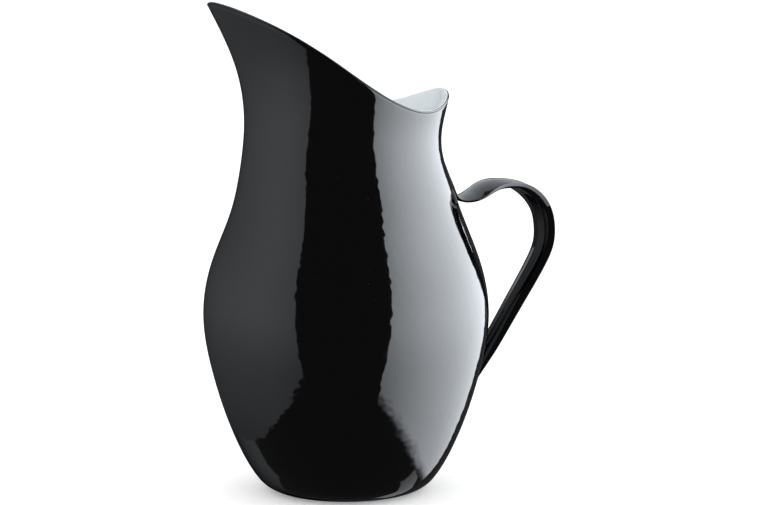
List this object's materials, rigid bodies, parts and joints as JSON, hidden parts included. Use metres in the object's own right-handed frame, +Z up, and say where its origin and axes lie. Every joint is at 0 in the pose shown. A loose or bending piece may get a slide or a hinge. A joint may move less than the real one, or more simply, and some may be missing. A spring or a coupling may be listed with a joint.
{
  "type": "water jug",
  "caption": "Tall enamelled steel water jug with a round belly, a waisted collar that rises to a broad pouring lip, and a flanged strap handle.",
  "frame": {"origin": "centre of the flat base, on the surface that the jug stands on", "axes": "+Z up, +X towards the handle, -X towards the pouring lip"},
  "size_m": [0.1777, 0.1396, 0.2403],
  "materials": {
    "black_enamel": "gloss",
    "white_enamel": "gloss",
    "enamelled_strap": "gloss",
    "sheet_steel": "satin"
  },
  "bodies": {
    "root": {"outer_enamel": "black_enamel", "body_shell": "sheet_steel", "inner_enamel": "white_enamel", "rim_enamel": "black_enamel", "handle_strap": "enamelled_strap", "upper_weld_a": "sheet_steel", "upper_weld_b": "sheet_steel", "lower_weld_a": "sheet_steel", "lower_weld_b": "sheet_steel"}
  },
  "joints": []
}
